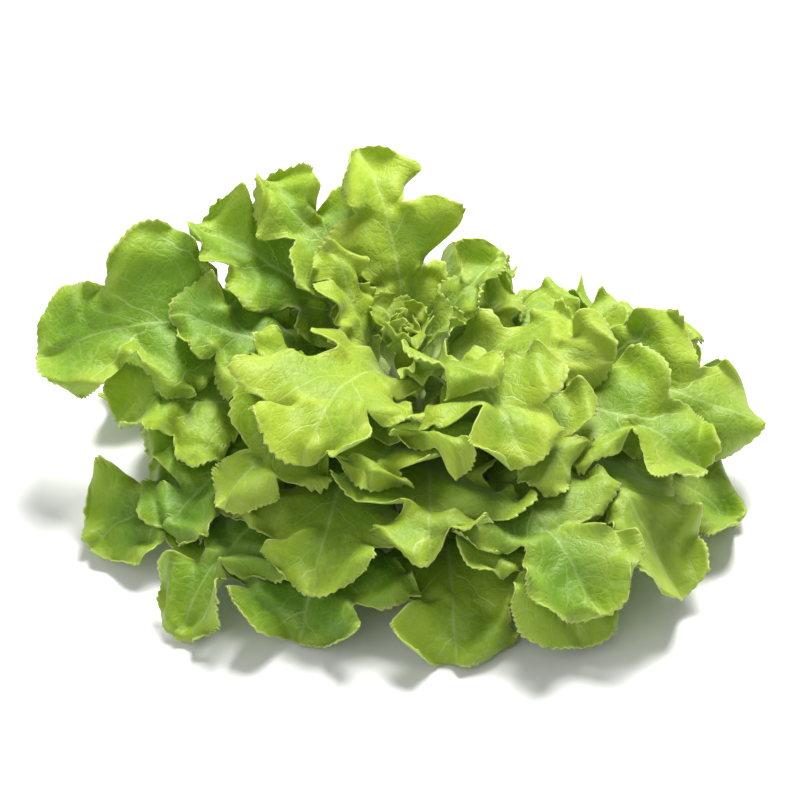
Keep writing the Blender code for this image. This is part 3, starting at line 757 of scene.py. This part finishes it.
# The fine leaf: its rows and columns, the columns closer together towards the margins by a
# share, the thickness of its skin, and how closely and in how many swings it is laid.
FINE_ROWS, FINE_COLUMNS = 180, 35
FINE_FOOT_ROWS = 12
CLOSER = 0.4
SKIN = 0.5
FINE_CLEARANCE = 0.3
FINE_SPREAD = 0.8
FINE_PASSES = 5
TONE_SEED = 40


def facing(points):
    """The unit normals of a grid of points: the cross product of its two differences."""
    down, over = np.gradient(points, axis=0), np.gradient(points, axis=1)
    return unit(np.cross(over, down))


def leaf_sheet(points, rib, traits):
    """One closed leaf: the grid's upper side half a skin above it, its lower side half a skin
    and the rib below it, and a strip round the margin. traits are values for each point."""
    rows, columns = points.shape[:2]
    normal = facing(points)
    upper = points + normal * SKIN / 2
    lower = points - normal * (SKIN / 2 + rib)[..., None]
    count = rows * columns
    corners = np.concatenate([upper.reshape(-1, 3), lower.reshape(-1, 3)]) * MM
    j, i = np.meshgrid(np.arange(rows - 1), np.arange(columns - 1), indexing="ij")
    a = (j * columns + i).ravel()
    top = np.stack([a, a + 1, a + columns + 1, a + columns], axis=1)
    edge = np.concatenate([
        np.arange(columns), np.arange(1, rows) * columns + columns - 1,
        (rows - 1) * columns + np.arange(columns - 1)[::-1], np.arange(1, rows - 1)[::-1] * columns])
    onward = np.roll(edge, -1)
    strip = np.stack([edge, edge + count, onward + count, onward], axis=1)
    faces = np.concatenate([top, top[:, ::-1] + count, strip])
    traits = {name: np.concatenate([value.ravel()] * 2) for name, value in traits.items()}
    traits["under"] = np.repeat([0.0, 1.0], count)
    return corners, faces, traits


def add_piece(name, parts, finish):
    """A mesh object from closed sheets: corners, faces, and values kept as attributes, with
    the place on the flattened leaf as its map."""
    start, corners, faces, traits = 0, [], [], {}
    for points, quads, values in parts:
        corners.append(points)
        faces.append(quads + start)
        start += len(points)
        for key, value in values.items():
            traits.setdefault(key, []).append(value)
    corners, faces = np.concatenate(corners), np.concatenate(faces)
    mesh = bpy.data.meshes.new(name)
    mesh.vertices.add(len(corners))
    mesh.vertices.foreach_set("co", corners.ravel())
    mesh.loops.add(faces.size)
    mesh.loops.foreach_set("vertex_index", faces.ravel())
    mesh.polygons.add(len(faces))
    mesh.polygons.foreach_set("loop_start", np.arange(0, faces.size, 4))
    mesh.update(calc_edges=True)
    mesh.shade_smooth()
    traits = {key: np.concatenate(value) for key, value in traits.items()}
    flat = mesh.uv_layers.new(name="flat")
    places = np.stack([traits.pop("across"), traits.pop("along")], axis=1) / MAP_UNIT
    flat.data.foreach_set("uv", places[faces.ravel()].ravel())
    for key, value in traits.items():
        layer = mesh.attributes.new(key, "FLOAT", "POINT")
        layer.data.foreach_set("value", value)
    mesh.materials.append(finish)
    piece = bpy.data.objects.new(name, mesh)
    bpy.context.scene.collection.objects.link(piece)
    return piece


def spread_over(values, row, column):
    """Values on the solids' rows and columns, read in straight lines on a finer grid."""
    along = np.stack([np.interp(row[:, 0], ROWS, values[:, k]) for k in range(len(COLUMNS))], axis=1)
    return np.stack([np.interp(column[0], COLUMNS, line) for line in along])


def swung_on(widened, now, rib, foot_rows):
    """How much further a fine leaf has to swing up, eased over the leaf and 0 at its foot."""
    short = skins.short(widened, now, SKIN / 2 + rib, FINE_CLEARANCE)
    short[:foot_rows] = 0
    return smoothed(eased(short, 6), 2)


def lay_leaves(leaves, first, finish):
    """Lays leaves on those before them. The solids' own leaves are settled first, on the
    coarse grid. Each fine leaf then takes that lift, read between the coarse grid's points,
    and swings up further where it is still too near to the fine leaves below it."""
    coarse_row, coarse_column = np.meshgrid(ROWS, COLUMNS, indexing="ij")
    coarse_faces = triangles_of(*coarse_row.shape)
    even = np.linspace(-1, 1, FINE_COLUMNS)
    closer = (1 - CLOSER) * even + CLOSER * np.sin(even * math.pi / 2)
    fine_row, fine_column = np.meshgrid(np.linspace(0, 1, FINE_ROWS), closer, indexing="ij")
    for number, leaf in enumerate(leaves, first):
        rank = number / (LEAF_COUNT - 1)
        height = between((LOWEST_BASE, HIGHEST_BASE), rank)
        midrib = Midrib(leaf, profile_radius(height) + GAP, height)
        blade = Blade(leaf, rank, number, midrib.length)
        thick = blade.thickness(coarse_row, coarse_column)
        across = coarse_column * blade.half_width(coarse_row, coarse_column)
        points = blade.surface(midrib, coarse_row, coarse_column)[0]
        points, lift, height = settle(solids, midrib.foot_turn, height, across, points, thick, coarse_faces)
        solids.lay(*solids.spread(points, thick, coarse_faces))

        points, across, along, inset, veins = blade.surface(midrib, fine_row, fine_column, fine=True)
        rib = blade.thickness(fine_row, fine_column) - BLADE_THICK
        lift = smoothed(spread_over(lift, fine_row, fine_column), 5)
        widened = skins.widened(FINE_SPREAD)
        for _ in range(FINE_PASSES):
            now = clear_of_stem(swing(points, lift), rib)
            ring = foot_ring(midrib.foot_turn, height, across[0], SKIN + 0 * across[0], -SKIN)
            now = now + (ring - now[0]) * (1 - smoothstep(0, ROWS[1], fine_row))[..., None]
            lift = lift + swung_on(widened, now, rib, FINE_FOOT_ROWS)
        skins.lay(now, SKIN / 2)
        tone = np.full(rib.shape, np.random.default_rng(TONE_SEED + number).uniform(-0.5, 0.5))
        traits = {"across": across, "along": along, "inset": inset, "veins": veins,
                  "reach": fine_row, "tone": tone}
        piece = add_piece(leaf.name + "_blade", [leaf_sheet(now, rib, traits)], finish)
        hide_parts(leaf.name)
        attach(piece, "root")


solids, skins = Pile(), Pile()
outer_finish = leaf_finish("outer_leaf", (0.11, 0.26, 0.006), (0.30, 0.45, 0.014), (0.42, 0.62, 0.01))
lay_leaves(OUTER_LEAVES, 0, outer_finish)


# The middle leaves
# Sixteen full-grown leaves, half raised on those below, lighter and less spread than the
# outer ones. The longest reaches far out over the table on the left.

MIDDLE_LEAVES = [
    Leaf("middle_leaf_01", (-94, -63, 14), 24, -40, 10, 34, 20, 5, -20),
    Leaf("middle_leaf_02", (66, -107, 14), 26, -50, 0, 34, 20, 5, 0),
    Leaf("middle_leaf_07", (118, 16, 24), 28, -20, -15, 30, 10, 5, 10),
    Leaf("middle_leaf_03", (136, -18, 34), 28, -20, -35, 30, 0, 6, 10),
    Leaf("middle_leaf_04", (-116, -25, 30), 28, -20, 15, 30, 20, 5, 0),
    Leaf("middle_leaf_05", (66, 66, 18), 30, -20, 0, 34, 10, 6, 0),
    Leaf("middle_leaf_06", (-34, -99, 22), 30, -50, 0, 34, 20, 5, -15),
    Leaf("middle_leaf_08", (-144, 0, 54), 40, -20, 40, 38, 20, 6, -22),
    Leaf("middle_leaf_09", (14, 84, 26), 32, -10, 0, 34, 20, 6, 10),
    Leaf("middle_leaf_10", (8, -104, 26), 34, -50, 0, 36, 25, 5, 10),
    Leaf("middle_leaf_11", (112, -52, 42), 38, -30, -20, 28, 0, 5, 0),
    Leaf("middle_leaf_12", (-62, 76, 55), 40, 0, 0, 34, 20, 6, -10),
    Leaf("middle_leaf_13", (-103, 5, 50), 42, -10, 20, 28, 20, 5, 10),
    Leaf("middle_leaf_14", (90, 20, 42), 40, -10, -10, 32, 20, 5, 10),
    Leaf("middle_leaf_15", (-67, -71, 38), 44, -40, 10, 24, 20, 4, -10),
    Leaf("middle_leaf_16", (-84, 42, 84), 50, 10, 20, 30, 60, 5, -20),
]
middle_finish = leaf_finish("middle_leaf", (0.14, 0.30, 0.008), (0.35, 0.485, 0.018), (0.46, 0.66, 0.01))
lay_leaves(MIDDLE_LEAVES, len(OUTER_LEAVES), middle_finish)


# The upper leaves
# Thirteen young leaves that stand round the heart, the palest and yellowest of all. The
# tallest stands up at the back.

UPPER_LEAVES = [
    Leaf("upper_leaf_01", (58, 36, 44), 42, -10, -5, 30, 20, 5, 25),
    Leaf("upper_leaf_02", (-66, 56, 92), 52, 20, 10, 30, 30, 5, -30),
    Leaf("upper_leaf_03", (65, -72, 42), 48, -40, 0, 26, 20, 4, 10),
    Leaf("upper_leaf_04", (-15, 56, 112), 60, 50, 0, 30, 20, 6, -15),
    Leaf("upper_leaf_05", (-76, -34, 48), 50, -30, 10, 26, 0, 4, 20),
    Leaf("upper_leaf_06", (80, -25, 66), 52, 0, -20, 26, 20, 5, 20),
    Leaf("upper_leaf_07", (38, 36, 76), 54, 20, 0, 17, 20, 4, 0),
    Leaf("upper_leaf_08", (-17, -91, 42), 52, -45, 0, 22, 20, 4, 10),
    Leaf("upper_leaf_09", (-42, 30, 84), 56, 30, 0, 20, 20, 4, 80),
    Leaf("upper_leaf_10", (8, -82, 50), 54, -45, 0, 24, 20, 4, 30),
    Leaf("upper_leaf_11", (-40, -78, 58), 56, -50, 10, 40, 5, 5, -10),
    Leaf("upper_leaf_12", (43, -72, 60), 58, -45, 0, 30, 5, 5, 20),
    Leaf("upper_leaf_13", (31, -52, 72), 58, -30, 0, 19, 20, 4, -25),
]
upper_finish = leaf_finish("upper_leaf", (0.17, 0.33, 0.010), (0.39, 0.515, 0.024), (0.50, 0.68, 0.015))
lay_leaves(UPPER_LEAVES, len(OUTER_LEAVES) + len(MIDDLE_LEAVES), upper_finish)


# The heart
# The youngest leaves, small and upright round the growing tip, each turned on from the
# one below by the golden angle, with their feet in a short core.

SMALL_LEAVES = 7
SMALL_LENGTH = (28.0, 13.0)
SMALL_HALF_WIDTH = (13.0, 6.0)
SMALL_RISE = (40.0, 82.0)
SMALL_CUP = 60
SMALL_RUFFLE = 2.5
SMALL_TOOTH, SMALL_RIM_WAVE, SMALL_RIM_HEIGHT = 1.8, 15.0, 0.5
SMALL_SINUSES = 0.4
SMALL_CURLS = 0.3
SMALL_RIB = 0.5
SMALL_ROWS, SMALL_COLUMNS, SMALL_FOOT_ROWS = 46, 25, 14
GOLDEN_TURN = 137.5

# The feet's heights up the core, how far in they start, and how much steeper than the line
# to the tip the foot rises and the end droops.
SMALL_FEET = (CORE_PROFILE[-1][1] + 3, CORE_PROFILE[1][1] - 4)
SMALL_FOOT_RADIUS = 0.5
FOOT_STEEPER, END_DROOPS = 8, 25

# These leaves have no petiole and a weaker pale margin, so their colours are those of a
# place further along and further in. The core's are those well inside, between veins.
SMALL_START = 30
RIM_FADE = 1.2
CORE_INSET, CORE_VEIN = 9, 0.25
SMALL_SEED = 100
# The heart's two greens are darker than the upper leaves': painted shade of the deep pocket that the leaves
# round it fold over.
heart_painted_shade_finish = leaf_finish("heart", (0.16, 0.27, 0.005), (0.34, 0.44, 0.014), (0.48, 0.64, 0.01))
small_row, small_column = np.meshgrid(
    np.linspace(0, 1, SMALL_ROWS), np.linspace(-1, 1, SMALL_COLUMNS), indexing="ij")
hearts = []
for number in range(SMALL_LEAVES):
    share = number / (SMALL_LEAVES - 1)
    height = between(SMALL_FEET, share)
    rise = between(SMALL_RISE, share)
    tip = heading(GOLDEN_TURN * number, rise) * between(SMALL_LENGTH, share) + (0, 0, height)
    width = between(SMALL_HALF_WIDTH, share)
    leaf = Leaf("small", tuple(tip), rise + FOOT_STEEPER, rise - END_DROOPS, 0, width, SMALL_CUP,
                SMALL_RUFFLE, 0)
    midrib = Midrib(leaf, SMALL_FOOT_RADIUS, height)
    blade = Blade(leaf, 1.0, SMALL_SEED + number, midrib.length)
    blade.tooth, blade.rim_wave, blade.rim_height = SMALL_TOOTH, SMALL_RIM_WAVE, SMALL_RIM_HEIGHT
    blade.depth *= SMALL_SINUSES
    blade.curl *= SMALL_CURLS
    points, across, along, inset, veins = blade.surface(midrib, small_row, small_column, fine=True)
    rib = (blade.thickness(small_row, small_column) - BLADE_THICK) * SMALL_RIB
    lift, widened = np.zeros(rib.shape), skins.widened(FINE_SPREAD)
    for _ in range(FINE_PASSES):
        now = swing(points, lift)
        lift = lift + swung_on(widened, now, rib, SMALL_FOOT_ROWS)
    skins.lay(now, SKIN / 2)
    tone = np.full(rib.shape, share - 0.5)
    traits = {"across": across, "along": along + SMALL_START, "inset": inset + RIM_FADE,
              "veins": veins, "reach": small_row, "tone": tone}
    hearts.append(leaf_sheet(now, rib, traits))


# What is round, the core and the stem: its steps round the axis, the slow ripple of its
# radius, twisted with the height, and the radius at which it is closed, almost on the axis.
AROUND = 96
RIPPLES, RIPPLE_TWIST = 6, 5
ON_AXIS = 0.02
CORE_RIPPLE, CORE_STEPS = 0.04, 24


def turned_sheet(profile, ripple):
    """A profile of radius and height carried round the axis, its radius rippled by a share
    times a sine of so many ripples to a turn."""
    turn = np.linspace(0, 2 * math.pi, AROUND + 1)[:-1]
    radius, height = (np.array(line)[:, None] for line in zip(*profile))
    radius = radius * (1 + ripple * np.sin(RIPPLES * turn + height / RIPPLE_TWIST))
    points = np.stack([radius * np.cos(turn), radius * np.sin(turn), height + 0 * turn], axis=-1)
    rows, columns = points.shape[:2]
    j, i = np.meshgrid(np.arange(rows - 1), np.arange(columns), indexing="ij")
    a, b = (j * columns + i).ravel(), (j * columns + (i + 1) % columns).ravel()
    faces = np.stack([a, a + columns, b + columns, b], axis=1)
    every = [(value + 0 * points[..., 0]).ravel() for value in (turn, radius, height)]
    return points.reshape(-1, 3) * MM, faces, *every


def closing_profile(profile, steps):
    """A profile's straight lines cut into steps, from almost on the axis to almost on it."""
    corners = np.array([(ON_AXIS, profile[0][1])] + profile[1:] + [(ON_AXIS, profile[-1][1])], float)
    run = np.concatenate([[0], np.cumsum(np.linalg.norm(np.diff(corners, axis=0), axis=1))])
    even = np.linspace(0, run[-1], steps)
    return list(zip(np.interp(even, run, corners[:, 0]), np.interp(even, run, corners[:, 1])))


core_profile = closing_profile(CORE_PROFILE, CORE_STEPS)
points, faces, turn, radius, height = turned_sheet(core_profile, CORE_RIPPLE)
plain = np.zeros(len(points))
core_traits = {"across": radius, "along": height, "inset": plain + CORE_INSET,
               "veins": plain + CORE_VEIN, "reach": plain, "tone": plain, "under": plain}
heart = add_piece("heart_leaves", hearts + [(points, faces, core_traits)], heart_painted_shade_finish)
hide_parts("heart")
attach(heart, "root")


# The stem
# A short fleshy core, cut straight across with a knife: pale flesh, a ring of darker
# strands inside the rim, and a cut face that has dried to a faint rusty tan at its edge.

FLESH, PALE_FLESH = (0.72, 0.78, 0.50), (0.82, 0.86, 0.66)
STRAND, STRAND_RADIUS, STRAND_WANDER, STRAND_SHOWS = (0.50, 0.52, 0.22), 9.6, 1.6, 0.6
RUST, RUST_RADII, RUST_SHOWS = (0.52, 0.31, 0.14), (10.3, 12.6), 0.7
FLESH_ROUGHNESS = (0.42, 0.62)
STEM_RIPPLE, STEM_STEPS = 0.012, 90


def stem_finish():
    """Pale flesh, tinted by the radius on the cut face and by noise down the side."""
    material = bpy.data.materials.new("stem")
    material.use_nodes = True
    tree = material.node_tree
    flesh = tree.nodes["Principled BSDF"]
    wire = Wire(tree)
    place = wire.node("TexCoord", {}, {}, out=3)
    radius, on_cut = wire.kept("radius"), wire.kept("height").ramp(0.05, 0.4, 1, 0)
    uneven, broad = wire.noise(place, 420.0, 4.0), wire.noise(place, 90.0, 2.0)
    strand = abs(radius + uneven * STRAND_WANDER - STRAND_RADIUS).ramp(0.1, 0.9, 1, 0)
    colour = wire.blend(broad, FLESH, PALE_FLESH)
    colour = wire.blend(strand * on_cut * STRAND_SHOWS, colour, STRAND)
    colour = wire.blend(radius.ramp(*RUST_RADII) * on_cut * RUST_SHOWS, colour, RUST)
    tree.links.new(colour.socket, flesh.inputs["Base Color"])
    tree.links.new(uneven.ramp(0.2, 0.8, *FLESH_ROUGHNESS).socket, flesh.inputs["Roughness"])
    tree.links.new(wire.relief(uneven + broad * 0.5).socket, flesh.inputs["Normal"])
    return material


stem_profile = closing_profile(STEM_PROFILE, STEM_STEPS)
points, faces, turn, radius, height = turned_sheet(stem_profile, STEM_RIPPLE)
stem_traits = {"across": turn * STEM_PROFILE[-1][0], "along": height, "radius": radius, "height": height}
stem = add_piece("cut_stem", [(points, faces, stem_traits)], stem_finish())
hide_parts("stem")
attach(stem, "root")
